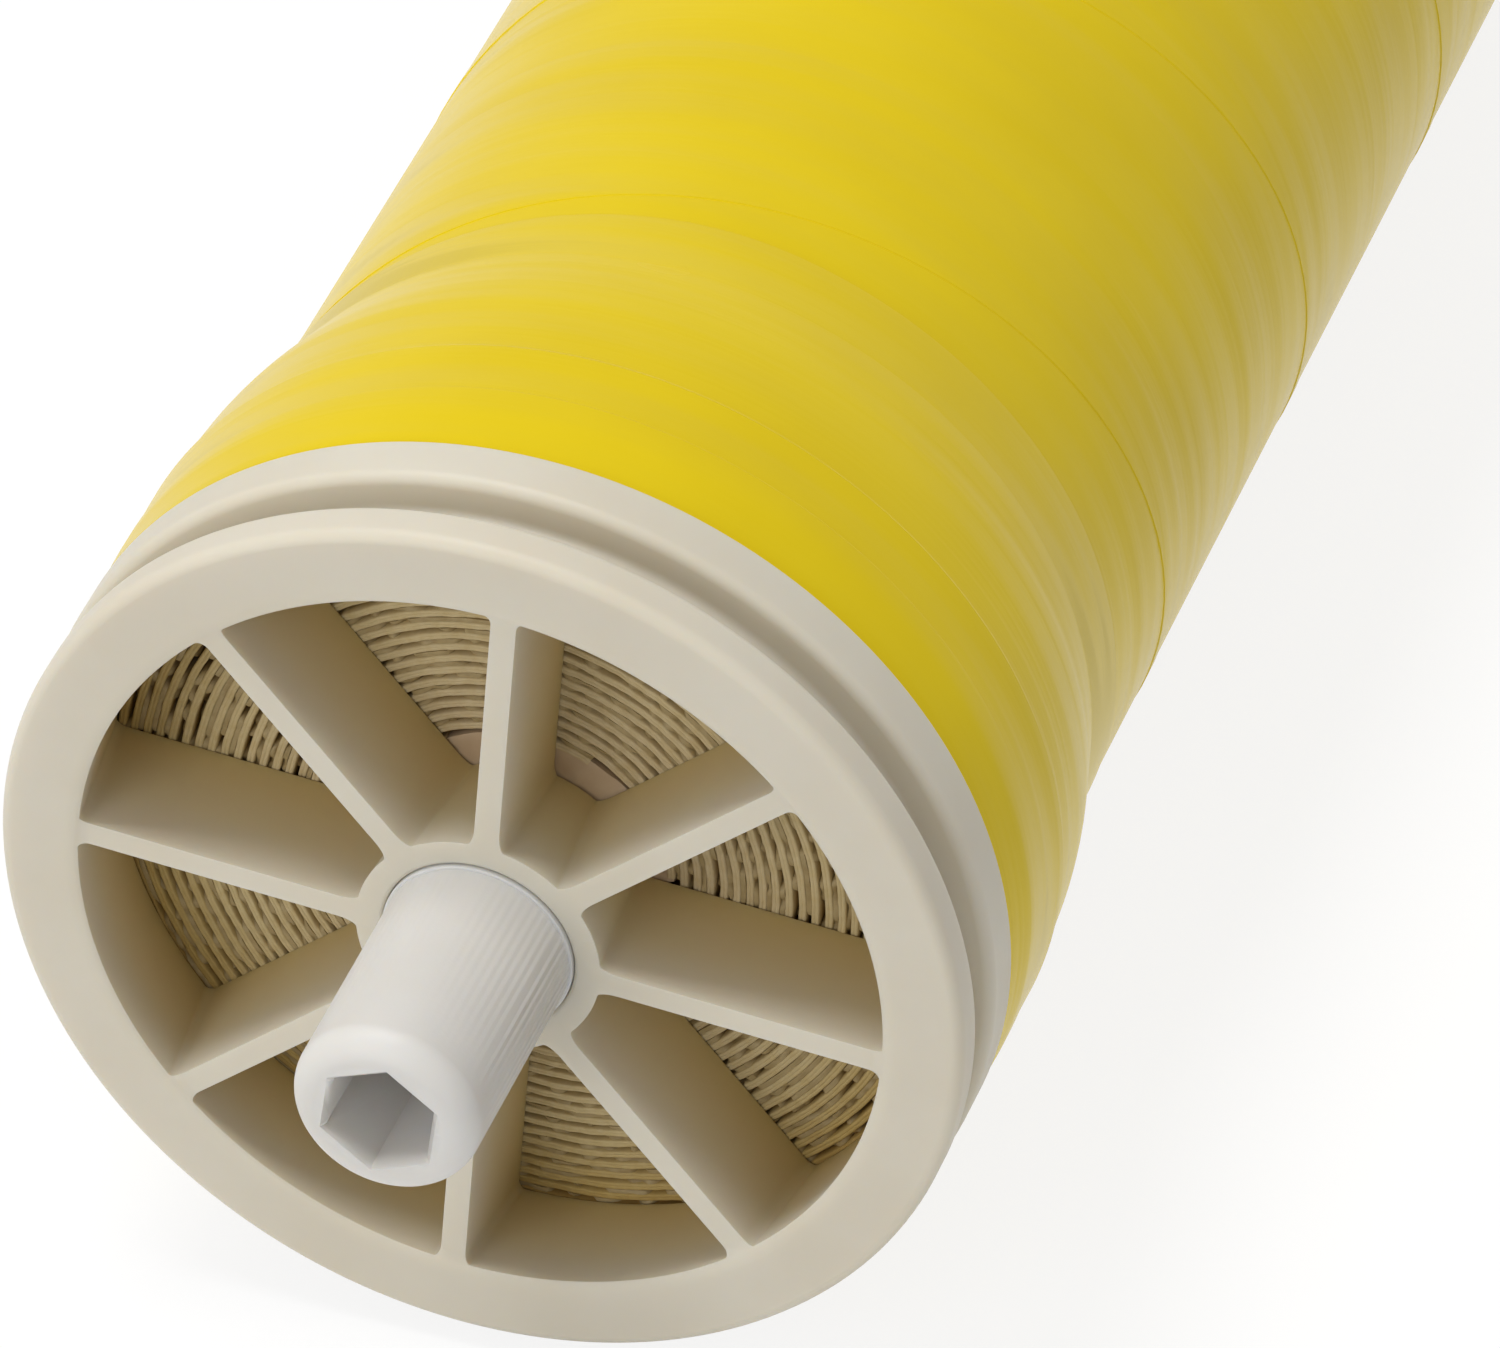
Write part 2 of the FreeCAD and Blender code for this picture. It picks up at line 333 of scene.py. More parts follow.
CAP_SECTION = at_depth([
    (BORE_RADIUS, HUB_RECESS, 0.5),
    (WINDOW_RADIUS - 0.4, HUB_RECESS, 0.7),
    (WINDOW_RADIUS + 0.7, 0, 0.8),
    (FLANGE_RADIUS, 0, 1.3),
    (FLANGE_RADIUS, 4.9, 1.1),
    (FLANGE_RADIUS - 4.1, 4.9, 0.8),
    (FLANGE_RADIUS - 4.1, 9.5, 0.8),
    (FLANGE_RADIUS, 9.5, 1.2),
    (FLANGE_RADIUS, 15.3, 0.4),
    (48.5, 15.3, 0),
    (48.5, 38, 0),
    (46.6, 48, 0),
    (BODY_RADIUS + 0.05, 48, 0),
    (BODY_RADIUS + 0.05, FACE_DEPTH, 0),
    (BORE_RADIUS, FACE_DEPTH, 0),
])

# %% Windows
HUB_RADII = (12.625, 11.475)
RIM_RADII = (WINDOW_RADIUS, 43.25)
SPOKE_HALVES = (1.25, 1.85)


def window_points(depth):
    """Corners of one window at a depth, hub arc first, then back along the rim."""
    share = depth / FACE_DEPTH
    hub, rim, half = [front + (back - front) * share for front, back in (HUB_RADII, RIM_RADII, SPOKE_HALVES)]
    points = []
    for radius, steps in ((hub, 10), (rim, 40)):
        edge = math.asin(half / radius)
        start = math.radians(SPOKE_TURN) + edge
        room = 2 * math.pi / SPOKE_COUNT - 2 * edge
        turns = [start + room * i / steps for i in range(steps + 1)]
        if radius == rim:
            turns.reverse()
        points += [Vector((radius * math.cos(a), FACE_Y + depth, radius * math.sin(a))) * MM for a in turns]
    return points


def window_loop(bm, depth):
    """Closed loop of edges round one window, its four corners rounded."""
    loop = [bm.verts.new(point) for point in window_points(depth)]
    face = bm.faces.new(loop)
    for corner, rounding in ((loop[0], 2.0), (loop[10], 2.0), (loop[11], 1.3), (loop[-1], 1.3)):
        bmesh.ops.bevel(bm, geom=[corner], offset=rounding * MM, offset_type="OFFSET", segments=6,
                        profile=0.5, affect="VERTICES", material=-1, clamp_overlap=False)
    return loop


def make_window_cutter():
    """All eight windows as one cutter, wider at the roll than at the face."""
    bm = bmesh.new()
    window_loop(bm, -3)
    window_loop(bm, FACE_DEPTH + 3)
    caps = bm.faces[:]
    bmesh.ops.bridge_loops(bm, edges=[edge for face in caps for edge in face.edges])
    one = bm.verts[:] + bm.edges[:] + bm.faces[:]
    for i in range(1, SPOKE_COUNT):
        copy = bmesh.ops.duplicate(bm, geom=one)["geom"]
        turn = Matrix.Rotation(i * 2 * math.pi / SPOKE_COUNT, 4, AXIS)
        bmesh.ops.transform(bm, matrix=turn, verts=[g for g in copy if isinstance(g, bmesh.types.BMVert)])
    bmesh.ops.recalc_face_normals(bm, faces=bm.faces[:])
    return loose_object("windows", bm)


# %% Both caps
front_cap = new_piece("moulded_front_cap", spin_section(section(CAP_SECTION, segments=5)), "cap_plastic")
cut_away(front_cap, make_window_cutter())
soften_edges(front_cap, 0.42)
shade_smooth(front_cap)
rear_cap = at_rear(front_cap, "moulded_rear_cap")
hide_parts("front_cap")
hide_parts("rear_cap")
print("each cap:", len(front_cap.data.polygons), "faces")

# %% [markdown]
# ## Permeate tube
#
# One tube runs from tip to tip. Its nose is rounded generously, because it has to lead into an
# adapter's rubber rings, and a hexagonal socket in each end lets a driver turn it while the
# leaves are wound. The section is spun, and the sockets and the hidden permeate holes are cut
# out. The socket's mouth needs a soft edge, and a bevel after the cut gives it one.

# %% Tube
NOSE_ROUND = 3.0
BORE = 4.8
SOCKET_FLATS = 10.2
SOCKET_DEPTH = 14.0
SOCKET_TURN = 22.0
LAND_Y = TIP_Y + TUBE_REACH + 0.3

TUBE_SECTION = [
    (BORE, TIP_Y, 0),
    (SEAL_LAND_RADIUS, TIP_Y, NOSE_ROUND),
    (SEAL_LAND_RADIUS, LAND_Y, 0),
    (TUBE_RADIUS, LAND_Y, 0.15),
    (TUBE_RADIUS, -LAND_Y, 0.15),
    (SEAL_LAND_RADIUS, -LAND_Y, 0),
    (SEAL_LAND_RADIUS, -TIP_Y, NOSE_ROUND),
    (BORE, -TIP_Y, 0),
]


def add_hexagon(bm, tip_y, depth):
    """Prism for a hexagonal socket, from outside the tip to its depth."""
    made = bmesh.ops.create_cone(bm, cap_ends=True, segments=6, radius1=SOCKET_FLATS / math.sqrt(3) * MM,
                                 radius2=SOCKET_FLATS / math.sqrt(3) * MM, depth=2 * depth * MM)
    turn = Matrix.Rotation(math.radians(30 - SOCKET_TURN), 4, AXIS) @ Matrix.Rotation(math.pi / 2, 4, "X")
    bmesh.ops.transform(bm, matrix=turn, verts=made["verts"])
    bmesh.ops.translate(bm, vec=(0, tip_y * MM, 0), verts=made["verts"])


def add_lead_in(bm, tip_y):
    """Hexagonal countersink that opens the socket's mouth."""
    made = bmesh.ops.create_cone(bm, cap_ends=True, segments=6, radius1=(SOCKET_FLATS / math.sqrt(3) + 1.2) * MM,
                                 radius2=SOCKET_FLATS / math.sqrt(3) * MM, depth=1.2 * MM)
    tip_side = 1 if tip_y > 0 else -1
    turn = Matrix.Rotation(math.radians(30 - SOCKET_TURN), 4, AXIS) @ Matrix.Rotation(tip_side * math.pi / 2, 4, "X")
    bmesh.ops.transform(bm, matrix=turn, verts=made["verts"])
    bmesh.ops.translate(bm, vec=(0, tip_y * MM, 0), verts=made["verts"])


def add_drill(bm, y, side):
    made = bmesh.ops.create_cone(bm, cap_ends=True, segments=24, radius1=1.6 * MM, radius2=1.6 * MM,
                                 depth=12 * MM)
    bmesh.ops.translate(bm, vec=(0, y * MM, side * 9 * MM), verts=made["verts"])


def make_socket_cutter():
    bm = bmesh.new()
    for tip_y in (TIP_Y, -TIP_Y):
        add_hexagon(bm, tip_y, SOCKET_DEPTH)
    for i in range(8):
        add_drill(bm, (i - 3.5) * 110, (-1) ** i)
    return loose_object("sockets", bm)


def make_lead_in_cutter():
    bm = bmesh.new()
    for tip_y in (TIP_Y, -TIP_Y):
        add_lead_in(bm, tip_y)
    return loose_object("lead_ins", bm)


tube = new_piece("permeate_pipe", spin_section(section(TUBE_SECTION, segments=10), steps=128), "tube_plastic")
cut_away(tube, make_socket_cutter())
cut_away(tube, make_lead_in_cutter())
soften_edges(tube, 0.75, segments=4, angle=50)
shade_smooth(tube)
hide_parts("permeate_tube")
print("tube:", len(tube.data.polygons), "faces")

# %% [markdown]
# ## Wound leaves
#
# Six leaves and six nets wind round the core together, a pitch apart. A spiral could be
# sampled from a formula, but the winding really unrolls from a small hexagon: each leaf is a
# chain of sixth-turn arcs, and each arc turns about the next corner of the hexagon. That is
# exactly what the Spin operator does, so a strip is its own end section spun about one corner
# after another. The ends that show in the windows then get their unevenness from noise.

# %% A spiral strip
LEAF_COUNT = 6
LEAF_THICKNESS = 0.86
PITCH = 1.345
LEAF_ROOT = 14.945
ARCS = 22


def hexagon_corner(index):
    turn = math.radians(60 * index)
    return Vector((math.cos(turn), 0, math.sin(turn))) * PITCH * MM


def arc_section(corner_index, radius, across, ends):
    """Closed end section of a strip where one of its arcs begins."""
    bm = bmesh.new()
    turn = math.radians(60 * corner_index - 120)
    outward = Vector((math.cos(turn), 0, math.sin(turn))) * MM
    centre = hexagon_corner(corner_index)
    front = [centre + outward * (radius + a) + AXIS * (ROLL_Y + e) * MM for a, e in zip(across, ends)]
    back = [Vector((point.x, -point.y, point.z)) for point in reversed(front)]
    loop = [bm.verts.new(point) for point in front + back]
    for start, end in zip(loop, loop[1:] + loop[:1]):
        bm.edges.new((start, end))
    return bm


def append(bm, part):
    """Adds one bmesh to another."""
    mesh = bpy.data.meshes.new("part")
    part.to_mesh(mesh)
    part.free()
    bm.from_mesh(mesh)
    bpy.data.meshes.remove(mesh)


def close_strip(bm):
    """Joins a strip's parts and closes its two ends."""
    bmesh.ops.remove_doubles(bm, verts=bm.verts[:], dist=1e-6)
    bmesh.ops.holes_fill(bm, edges=[edge for edge in bm.edges if edge.is_boundary], sides=0)
    bmesh.ops.recalc_face_normals(bm, faces=bm.faces[:])
    return bm


def wind_strip(first, across, ends, step):
    """A leaf or a net: arc after arc, each about the next hexagon corner."""
    bm = bmesh.new()
    for i in range(ARCS):
        radius = LEAF_ROOT + i * PITCH
        part = arc_section(first + i, radius, across, ends)
        bmesh.ops.spin(part, geom=part.verts[:] + part.edges[:], cent=hexagon_corner(first + i), axis=AXIS,
                       dvec=(0, 0, 0), angle=-math.radians(60), use_merge=False,
                       steps=math.ceil(radius * math.radians(60) / step))
        append(bm, part)
    return close_strip(bm)


# %% Unevenness of the roll's ends
def wander(point, scale, seed):
    """Smooth noise from -1 to 1, with its features scale millimetres across."""
    return noise.noise(Vector((point.x, point.z, seed * 0.01)) / (scale * MM))


def roughen_leaf(bm, seed):
    """Leaf ends stand unevenly and their edges waver."""
    for vert in bm.verts:
        side = 1 if vert.co.y < 0 else -1
        point = vert.co.copy()
        lift = 0.12 * wander(point, 1.1, seed) + 0.16 * wander(point, 5, seed + side)
        sway = 0.10 * wander(point, 7, 3) + 0.05 * wander(point, 2.2, seed + 5)
        radial = Vector((point.x, 0, point.z)).normalized()
        vert.co = point + radial * sway * MM + AXIS * side * (0.16 - lift) * MM


def sink_spacer(bm, seed):
    """Net strands reach the end of the roll only here and there; between them it is hollow."""
    for vert in bm.verts:
        side = 1 if vert.co.y < 0 else -1
        point = vert.co.copy()
        gap = 0.32 + 1.0 * wander(point, 1.7, seed + side) + 0.35 * wander(point, 9, seed)
        depth = 0.16 + 2.6 * min(max(gap, 0.0), 1.0) ** 2
        sway = 0.10 * wander(point, 7, 3)
        radial = Vector((point.x, 0, point.z)).normalized()
        vert.co = point + radial * sway * MM + AXIS * side * depth * MM


# %% Six leaves and six nets
LEAF_ACROSS = (0.02, 0.12, 0.30, 0.43, 0.56, 0.74, 0.84)
LEAF_ENDS = (0.14, 0.02, 0.0, 0.08, 0.0, 0.02, 0.14)
NET_ACROSS = (LEAF_THICKNESS, 1.10, PITCH)
NET_ENDS = (0.05, 0.0, 0.05)
leaves = []
nets = []
for k in range(LEAF_COUNT):
    leaf_mesh = wind_strip(k, LEAF_ACROSS, LEAF_ENDS, 0.55)
    roughen_leaf(leaf_mesh, 11 + k)
    leaf = new_piece(f"wound_leaf_{k + 1}", leaf_mesh, "membrane")
    shade_smooth(leaf, 50)
    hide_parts(f"membrane_leaf_{k + 1}")
    leaves.append(leaf)
    net_mesh = wind_strip(k, NET_ACROSS, NET_ENDS, 0.4)
    sink_spacer(net_mesh, 31 + k)
    net = new_piece(f"wound_net_{k + 1}", net_mesh, "spacer_mesh")
    shade_smooth(net, 50)
    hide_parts(f"feed_spacer_{k + 1}")
    nets.append(net)
print("one leaf:", len(leaves[0].data.polygons), "faces, one net:", len(nets[0].data.polygons), "faces")

# %% [markdown]
# ## Glued core
#
# Between the tube and the first leaf lie a few turns of carrier soaked in glue. Their end is
# nearly flat, with faint rings, and there is one fold where the glue has pulled away. It is a
# spun section with a corner for each turn; the fold is pressed into it afterwards.

# %% Core
CORE_TURNS = 9
core_corners = []
for i in range(CORE_TURNS + 1):
    radius = TUBE_RADIUS + (LEAF_ROOT - TUBE_RADIUS) * i / CORE_TURNS
    core_corners.append((radius, ROLL_Y + (0.10 if i % 2 else 0.02), 0))
core_corners += [(radius, -y, 0) for radius, y, _ in reversed(core_corners)]


def press_fold(bm):
    """Wedge-shaped hollow in the front end, with uneven turns round it."""
    for vert in bm.verts:
        side = 1 if vert.co.y < 0 else -1
        point = vert.co.copy()
        radius = math.hypot(point.x, point.z) / MM
        turn = math.degrees(math.atan2(point.z, point.x))
        depth = 0.12 * wander(point, 2.5, 77) + 0.10 * wander(point, 0.9, 78)
        in_wedge = max(0.0, 1 - abs(turn + 3.0) / (1.2 + 1.7 * max(0.0, radius - 12.6)))
        if side > 0 and radius > 12.4:
            depth += 1.6 * min(1.0, 2.5 * in_wedge)
        vert.co.y += side * (0.2 + depth) * MM


core_mesh = spin_section(section(core_corners), steps=288)
press_fold(core_mesh)
core = new_piece("glued_core", core_mesh, "core_laminate")
shade_smooth(core, 50)
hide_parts("core_wrap")

# %% [markdown]
# ## Tape on the body
#
# The skin is a wide vinyl tape wound in a helix, each turn lapping a little over the one
# before, so one thin edge climbs round the body. A screw modifier could make it, but Spin with
# a step along the axis gives the same strip and keeps its section in plain numbers. A few
# hoop turns hold the ends, and their edges aren't quite square to the axis.

# %% Helical turns
TAPE_WIDTH = 50.3
TAPE_PITCH = 48.1
TAPE_STEPS = 120
SKIN = BODY_RADIUS - 0.3


def tape_section(start_y):
    """Section of the tape where a turn begins, thicker where it laps the turn before."""
    bm = bmesh.new()
    corners = [(SKIN - 0.1, 0), (SKIN + 0.10, 0), (SKIN + 0.22, 0.12), (SKIN + 0.22, 2.2), (SKIN + 0.12, 3.4),
               (SKIN + 0.12, TAPE_WIDTH), (SKIN - 0.1, TAPE_WIDTH)]
    loop = [bm.verts.new((r * MM, (start_y + y) * MM, 0)) for r, y in corners]
    for start, end in zip(loop, loop[1:] + loop[:1]):
        bm.edges.new((start, end))
    return bm


def wind_tape(start_y, turns):
    bm = bmesh.new()
    for i in range(turns):
        part = tape_section(start_y + i * TAPE_PITCH)
        bmesh.ops.spin(part, geom=part.verts[:] + part.edges[:], cent=(0, 0, 0), axis=AXIS, use_merge=False,
                       dvec=(0, TAPE_PITCH * MM / TAPE_STEPS, 0), angle=2 * math.pi, steps=TAPE_STEPS)
        append(bm, part)
    bmesh.ops.remove_doubles(bm, verts=bm.verts[:], dist=1e-6)
    for end_y, outward in ((ROLL_Y + 0.5, -1), (-ROLL_Y - 0.5, 1)):
        bmesh.ops.bisect_plane(bm, geom=bm.verts[:] + bm.edges[:] + bm.faces[:], plane_co=(0, end_y * MM, 0),
                               plane_no=(0, outward, 0), clear_outer=True)
    return close_strip(bm)


helix = wind_tape(FACE_Y + 28.0 - TAPE_PITCH, 21)
body_tape = new_piece("body_tape", helix, "yellow_tape")
shade_smooth(body_tape, 30)
under_skin = section([(SKIN - 0.4, ROLL_Y, 0), (SKIN, ROLL_Y, 0), (SKIN, -ROLL_Y, 0), (SKIN - 0.4, -ROLL_Y, 0)])
skin = new_piece("under_tape", spin_section(under_skin, steps=240), "yellow_tape")
shade_smooth(skin)
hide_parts("body_wrap")
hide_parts("body_wrap")


# %% Hoop turns
def hoop(name, start, end, lift, drift):
    """Flat band round the body between two depths, its far edge drifting along the axis."""
    inner, outer = SKIN, SKIN + lift
    corners = [(inner, start, 0), (outer, start, 0), (outer, end, 0.06), (inner, end, 0)]
    bm = spin_section(section(at_depth(corners), segments=2), steps=240)
    far = (FACE_Y + end - 0.5) * MM
    for vert in bm.verts:
        if vert.co.y > far:
            vert.co.y += drift(math.atan2(vert.co.z, vert.co.x)) * MM
    return new_piece(name, bm, "yellow_tape")


def first_drift(turn):
    return -4.6 * max(0.0, math.cos(turn - math.radians(170))) ** 1.5


front_hoop = hoop("front_hoop", 16, 60.2, 0.3, first_drift)
shade_smooth(front_hoop)
rear_hoop = at_rear(front_hoop, "rear_hoop")

# %% [markdown]
# ## Tape collars
#
# Narrower tape is built up over each cap's skirt and runs down onto the body. Its turns end at
# slightly different places, which leaves fine steps. The section carries those steps.

# %% Collars
COLLAR_SECTION = at_depth([
    (48.5, 15.3, 0),
    (48.88, 15.3, 0.25),
    (49.30, 19.6, 1.5),
    (COLLAR_RADIUS, 21.4, 0.8),
    (COLLAR_RADIUS, 24.3, 0.1),
    (COLLAR_RADIUS - 0.14, 24.42, 0.05),
    (COLLAR_RADIUS - 0.02, 31.2, 0.06),
    (COLLAR_RADIUS - 0.26, 31.45, 0.3),
    (48.45, 41.6, 3.0),
    (BODY_RADIUS, 52.4, 0.5),
    (BODY_RADIUS - 0.1, 52.6, 0),
    (BODY_RADIUS - 0.1, 48.0, 0),
    (46.6, 48.0, 0),
    (48.5, 38.0, 0),
])
front_collar = new_piece("front_collar", spin_section(section(COLLAR_SECTION, segments=5), steps=240), "yellow_tape")
shade_smooth(front_collar)
rear_collar = at_rear(front_collar, "rear_collar")
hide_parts("front_collar_tape")
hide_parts("rear_collar_tape")

# %% [markdown]
# ## Brine seal
#
# A cup seal of black rubber sits in the rear cap's groove: a heel, a leg that lies on the
# groove's floor, and a lip that flares outwards. It is one spun section with soft corners.

# %% Seal
seal_low, seal_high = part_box("brine_seal")
LIP = seal_high.x / MM
GROOVE_FLOOR = FLANGE_RADIUS - 4.05
SEAL_SECTION = at_depth([
    (GROOVE_FLOOR, 5.15, 0.2),
    (GROOVE_FLOOR, 9.25, 0.5),
    (GROOVE_FLOOR + 2.55, 9.25, 0.7),
    (LIP, 6.15, 0.35),
    (LIP - 0.5, 5.15, 0.3),
    (GROOVE_FLOOR + 1.3, 7.95, 0.4),
    (GROOVE_FLOOR + 1.3, 5.15, 0.3),
])
seal_mesh = spin_section(section(SEAL_SECTION, segments=4), steps=192)
bmesh.ops.scale(seal_mesh, vec=(1, -1, 1), verts=seal_mesh.verts[:])
bmesh.ops.reverse_faces(seal_mesh, faces=seal_mesh.faces[:])
seal = new_piece("cup_seal", seal_mesh, "seal_rubber")
shade_smooth(seal)
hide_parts("brine_seal")

# %% [markdown]
# ## Finishes
#
# (materials)

# %% Plastics
def finish_shader(tree, shader, color, roughness, normal):
    link(tree, color, shader.inputs["Base Color"])
    link(tree, roughness, shader.inputs["Roughness"])
    link(tree, normal, shader.inputs["Normal"])


def radius_of(tree, split):
    squares = [math_node(tree, "MULTIPLY", split.outputs[a], split.outputs[a]) for a in ("X", "Z")]
    return math_node(tree, "SQRT", math_node(tree, "ADD", *squares))


def paint_inner_bounce(tree, place, color):
    """Paints a cap's inner walls tan and darker towards the roll: painted bounce light from the tan roll and painted
    shade deep in the windows.
    """
    split = node(tree, "ShaderNodeSeparateXYZ")
    link(tree, place, split.inputs["Vector"])
    along = math_node(tree, "ABSOLUTE", split.outputs["Y"])
    depth = math_node(tree, "MULTIPLY", math_node(tree, "SUBTRACT", -FACE_Y * MM, along), 1 / (FACE_DEPTH * MM))
    # Painted bounce light and shade: tan reflected from the roll, and darker the deeper the wall lies.
    painted_bounce_tint = ramp(tree, depth, (0.08, (1, 1, 1)), (0.45, (0.97, 0.90, 0.70)), (1.0, (0.92, 0.77, 0.44)))
    painted_bounce_mask = math_node(tree, "LESS_THAN", radius_of(tree, split), 0.0436)
    bounce_painted = mix_color(tree, 1.0, color, painted_bounce_tint, "MULTIPLY")
    return mix_color(tree, painted_bounce_mask, color, bounce_painted)


def make_plastic(name, light, deep, roughness, scatter, bounce_painted=False):
    """Milky moulded plastic: faint clouds, fine grain, light that sinks in a little."""
    material, tree, shader = new_material(name)
    place = coordinates(tree)
    clouds = noise_field(tree, place, 45, 4)
    color = ramp(tree, clouds, (0.35, deep), (0.65, light))
    # Painted bounce light and shade on the cap's inner walls.
    if bounce_painted:
        color = paint_inner_bounce(tree, place, color)
    rough = math_node(tree, "MULTIPLY_ADD", noise_field(tree, place, 400, 3), 0.12, roughness)
    grain = noise_field(tree, place, 2600, 2)
    finish_shader(tree, shader, color, rough, bump(tree, grain, 0.00002, 0.35))
    shader.inputs["Subsurface Weight"].default_value = scatter
    shader.inputs["Subsurface Radius"].default_value = (1.0, 0.75, 0.45)
    shader.inputs["Subsurface Scale"].default_value = 0.004
    shader.inputs["IOR"].default_value = 1.47
    shader.inputs["Specular IOR Level"].default_value = 0.45
    return material


cap_plastic = make_plastic("cream cap plastic", (0.69, 0.645, 0.54), (0.66, 0.605, 0.49), 0.45, 0.4, True)
tube_plastic = make_plastic("white tube plastic", (0.72, 0.71, 0.69), (0.69, 0.67, 0.63), 0.42, 0.3)


# %% Leaves, nets and core
def depth_in_roll(tree, place):
    """Distance from the nearer end of the roll, in metres."""
    split = node(tree, "ShaderNodeSeparateXYZ")
    link(tree, place, split.inputs["Vector"])
    along = math_node(tree, "ABSOLUTE", split.outputs["Y"])
    return math_node(tree, "SUBTRACT", -ROLL_Y * MM, along), split


def make_leaf_material():
    material, tree, shader = new_material("membrane leaf ends")
    place = coordinates(tree)
    depth, split = depth_in_roll(tree, place)
    radius = radius_of(tree, split)
    outer = math_node(tree, "MULTIPLY", radius, 1 / 0.0453)
    base = ramp(tree, outer, (0.35, (0.68, 0.58, 0.40)), (0.75, (0.66, 0.56, 0.34)), (0.93, (0.55, 0.42, 0.17)),
                (0.97, (0.33, 0.20, 0.05)))
    fibres = noise_field(tree, place, 900, 4, (1, 0.3, 1))
    mottled = mix_color(tree, fibres, base, (0.80, 0.72, 0.52, 1), "MULTIPLY")
    # Painted shade: leaf ends go darker the deeper they sit in the roll.
    depth_shade = ramp(tree, math_node(tree, "MULTIPLY", depth, 1 / 0.004), (0.05, (1, 1, 1)), (0.35, (0.55, 0.42, 0.22)),
                  (1.0, (0.20, 0.13, 0.05)))
    color = mix_color(tree, 1.0, mottled, depth_shade, "MULTIPLY")
    rough = math_node(tree, "MULTIPLY_ADD", fibres, 0.1, 0.7)
    finish_shader(tree, shader, color, rough, bump(tree, fibres, 0.0002, 0.5))
    shader.inputs["Specular IOR Level"].default_value = 0.3
    return material


def make_net_material():
    material, tree, shader = new_material("net between the leaves")
    place = coordinates(tree)
    depth, split = depth_in_roll(tree, place)
    # Painted shade: the net goes from tan to near black the deeper it lies between the leaves; grime noise then
    # mottles it.
    color = ramp(tree, math_node(tree, "MULTIPLY", depth, 1 / 0.003), (0.10, (0.50, 0.40, 0.22)),
                 (0.35, (0.27, 0.19, 0.07)), (0.9, (0.07, 0.045, 0.014)))
    grime = noise_field(tree, place, 700, 3)
    shade_and_grime = mix_color(tree, grime, color, (0.55, 0.47, 0.30, 1), "MULTIPLY")
    rough = math_node(tree, "MULTIPLY_ADD", grime, 0.2, 0.55)
    finish_shader(tree, shader, shade_and_grime, rough, bump(tree, grime, 0.0001, 0.5))
    return material


def make_core_material():
    material, tree, shader = new_material("glued carrier")
    place = coordinates(tree)
    depth, split = depth_in_roll(tree, place)
    blotches = noise_field(tree, place, 260, 4)
    color = ramp(tree, blotches, (0.3, (0.52, 0.38, 0.25)), (0.7, (0.60, 0.47, 0.32)))
    # Painted shade: the glued turns go darker the deeper they sit, as in the fold.
    depth_shade = ramp(tree, math_node(tree, "MULTIPLY", depth, 1 / 0.002), (0.3, (1, 1, 1)), (0.9, (0.25, 0.17, 0.08)))
    shaded = mix_color(tree, 1.0, color, depth_shade, "MULTIPLY")
    rough = math_node(tree, "MULTIPLY_ADD", blotches, 0.2, 0.4)
    finish_shader(tree, shader, shaded, rough, bump(tree, blotches, 0.0003, 0.4))
    return material


leaf_material = make_leaf_material()
net_material = make_net_material()
core_material = make_core_material()


# %% Tape
def make_tape_material():
    """Glossy yellow vinyl: stretched wrinkles round the body, faint clouds of glue beneath."""
    material, tree, shader = new_material("yellow vinyl tape")
    place = coordinates(tree)
    clouds = noise_field(tree, place, 30, 3, (1, 2, 1))
    color = ramp(tree, clouds, (0.3, (0.74, 0.545, 0.006)), (0.7, (0.79, 0.59, 0.008)))
    broad = noise_field(tree, place, 9, 1, (1, 16, 1))
    fine = noise_field(tree, place, 12, 2, (1, 60, 1))
    height = math_node(tree, "MULTIPLY_ADD", fine, 0.10, broad)
    rough = math_node(tree, "MULTIPLY_ADD", clouds, 0.10, 0.20)
    finish_shader(tree, shader, color, rough, bump(tree, height, 0.0012, 0.55))
    shader.inputs["IOR"].default_value = 1.35
    shader.inputs["Specular IOR Level"].default_value = 0.18
    return material


def make_rubber():
    material, tree, shader = new_material("black seal rubber")
    place = coordinates(tree)
    dust = noise_field(tree, place, 300, 4)
    color = ramp(tree, dust, (0.35, (0.012, 0.012, 0.013)), (0.8, (0.045, 0.043, 0.040)))
    rough = math_node(tree, "MULTIPLY_ADD", dust, 0.25, 0.42)
    finish_shader(tree, shader, color, rough, bump(tree, noise_field(tree, place, 1800, 2), 0.00003, 0.4))
    return material


tape_material = make_tape_material()
rubber = make_rubber()

# %% Each piece gets its finish
finishes = [
    (cap_plastic, [front_cap, rear_cap]),
    (tube_plastic, [tube]),
    (leaf_material, leaves),
    (net_material, nets),
    (core_material, [core]),
    (tape_material, [body_tape, skin, front_hoop, rear_hoop, front_collar, rear_collar]),
    (rubber, [seal]),
]
for material, pieces in finishes:
    for piece in pieces:
        piece.data.materials.clear()
        piece.data.materials.append(material)
node_finishes = {
    "permeate_tube": tube_plastic, "front_cap": cap_plastic, "rear_cap": cap_plastic, "core_wrap": core_material,
    "body_wrap": tape_material, "front_collar_tape": tape_material, "rear_collar_tape": tape_material,
    "brine_seal": rubber,
}
for name, made in nodes.items():
    material = node_finishes.get(name) or (leaf_material if "leaf" in name else net_material)
    for slot in made.material_slots:
        slot.material = material
print(len(finishes), "finishes on", sum(len(pieces) for _, pieces in finishes), "pieces")

# %% [markdown]
# ## Floor, background and light
#
# (stage)

# %% Floor
floor_bm = bmesh.new()
bmesh.ops.create_grid(floor_bm, x_segments=1, y_segments=1, size=6)
bmesh.ops.translate(floor_bm, vec=(0, 0, cad_low.z - 0.0005), verts=floor_bm.verts[:])
floor = loose_object("floor", floor_bm)


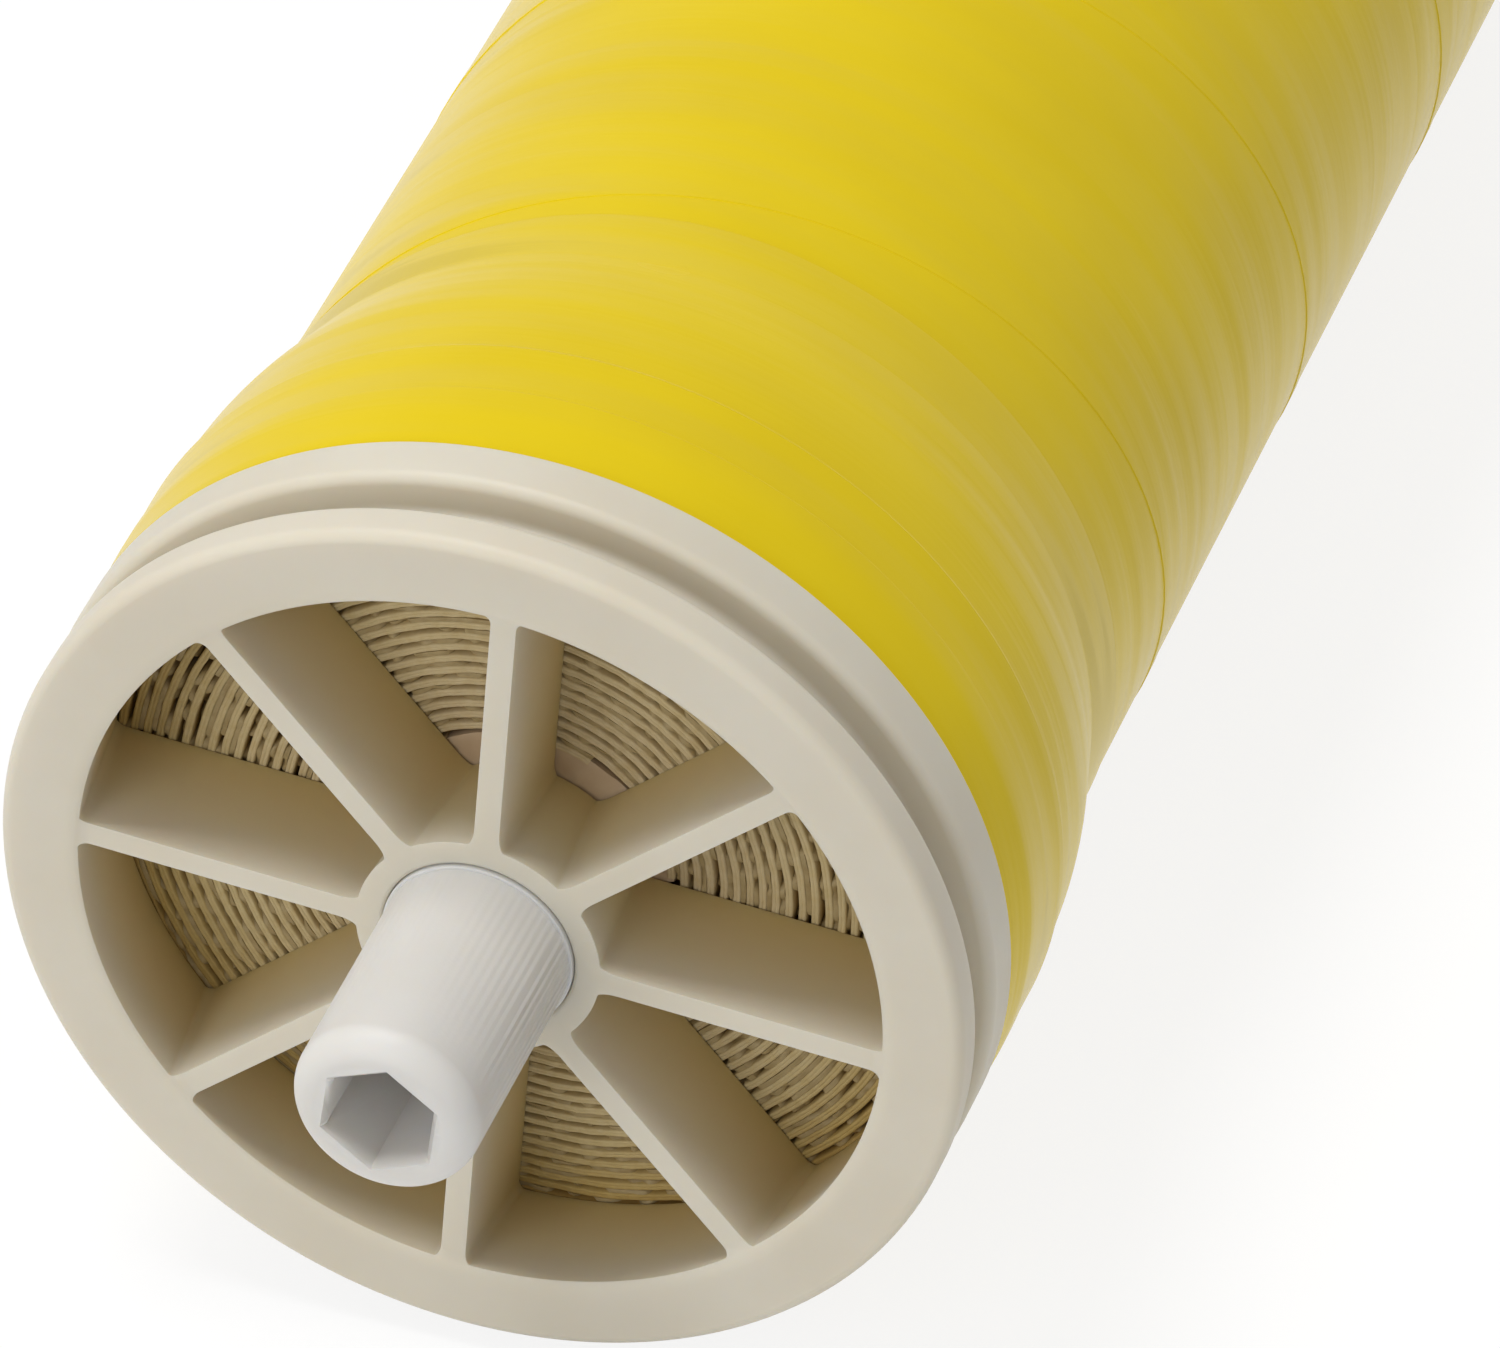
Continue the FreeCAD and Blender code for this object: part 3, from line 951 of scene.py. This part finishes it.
def make_floor_material():
    material, tree, shader = new_material("white floor")
    shader.inputs["Base Color"].default_value = (0.85, 0.85, 0.85, 1)
    shader.inputs["Roughness"].default_value = 0.9
    path = node(tree, "ShaderNodeLightPath")
    seen = math_node(tree, "MAXIMUM", path.outputs["Is Camera Ray"], path.outputs["Is Glossy Ray"])
    seen = math_node(tree, "MAXIMUM", seen, path.outputs["Is Transmission Ray"])
    share = math_node(tree, "MULTIPLY", seen, 0.8)
    glow = node(tree, "ShaderNodeEmission", {"Color": (1, 1, 1, 1), "Strength": 1.06})
    blend = node(tree, "ShaderNodeMixShader")
    link(tree, share, blend.inputs["Fac"])
    link(tree, shader.outputs["BSDF"], blend.inputs[1])
    link(tree, glow.outputs["Emission"], blend.inputs[2])
    link(tree, blend.outputs["Shader"], tree.nodes["Material Output"].inputs["Surface"])
    return material


floor.data.materials.append(make_floor_material())

# %% World and lamps
def make_world():
    world = bpy.data.worlds.new("studio")
    world.use_nodes = True
    tree = world.node_tree
    background = tree.nodes["Background"]
    path = node(tree, "ShaderNodeLightPath")
    seen = math_node(tree, "MAXIMUM", path.outputs["Is Camera Ray"], path.outputs["Is Glossy Ray"])
    seen = math_node(tree, "MAXIMUM", seen, path.outputs["Is Transmission Ray"])
    strength = math_node(tree, "MAXIMUM", seen, AMBIENT)
    background.inputs["Color"].default_value = (1, 1, 1, 1)
    link(tree, strength, background.inputs["Strength"])
    return world


AMBIENT = 0.40
bpy.context.scene.world = make_world()


def add_lamp(name, place, target, size, power):
    data = bpy.data.lights.new(name, "AREA")
    data.shape = "DISK"
    data.size = size
    data.energy = power
    lamp = bpy.data.objects.new(name, data)
    lamp.location = place
    lamp.rotation_euler = (Vector(target) - Vector(place)).to_track_quat("-Z", "Y").to_euler()
    bpy.context.collection.objects.link(lamp)
    return lamp


near_end = (0, FACE_Y * MM, 0)
add_lamp("key", (-0.5, -0.5, 1.9), near_end, 0.8, 22)
add_lamp("fill", (-0.6, -2.2, 0.6), near_end, 1.2, 10)
